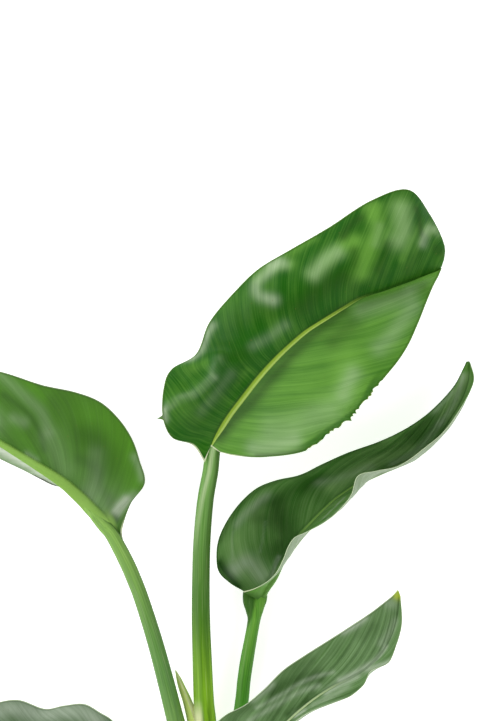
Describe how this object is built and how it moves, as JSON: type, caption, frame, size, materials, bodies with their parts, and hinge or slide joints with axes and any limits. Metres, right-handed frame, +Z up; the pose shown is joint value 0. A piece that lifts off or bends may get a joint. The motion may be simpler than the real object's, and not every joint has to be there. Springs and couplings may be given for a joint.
{
  "type": "bird of paradise leaf shoot",
  "caption": "Cut leafy shoot with broad, folded, paddle-shaped blades on long stalks that nest in one another's sheaths, lying on a surface.",
  "frame": {"origin": "on the surface, in the middle of the small flat spot under the cut end of the outermost sheath", "axes": "+Y from the cut end towards the leaf tips, +X to the right seen from above, +Z up from the surface"},
  "size_m": [0.6004, 0.6809, 0.1174],
  "materials": {
    "blade": "glossy leaf with fine parallel side veins",
    "blade_grey": "grey-green waxy leaf with streaked veins",
    "stalk": "smooth satin leaf stalk, paler towards the base",
    "young_leaf": "pale satin rolled young leaf"
  },
  "bodies": {
    "root": {"young_leaf": "young_leaf", "middle_stalk": "stalk", "middle_blade": "blade", "right_stalk": "stalk", "right_blade": "blade", "left_stalk": "stalk", "left_blade": "blade", "lower_right_stalk": "stalk", "lower_right_blade": "blade_grey", "lower_left_stalk": "stalk", "lower_left_blade": "blade_grey"}
  },
  "joints": []
}
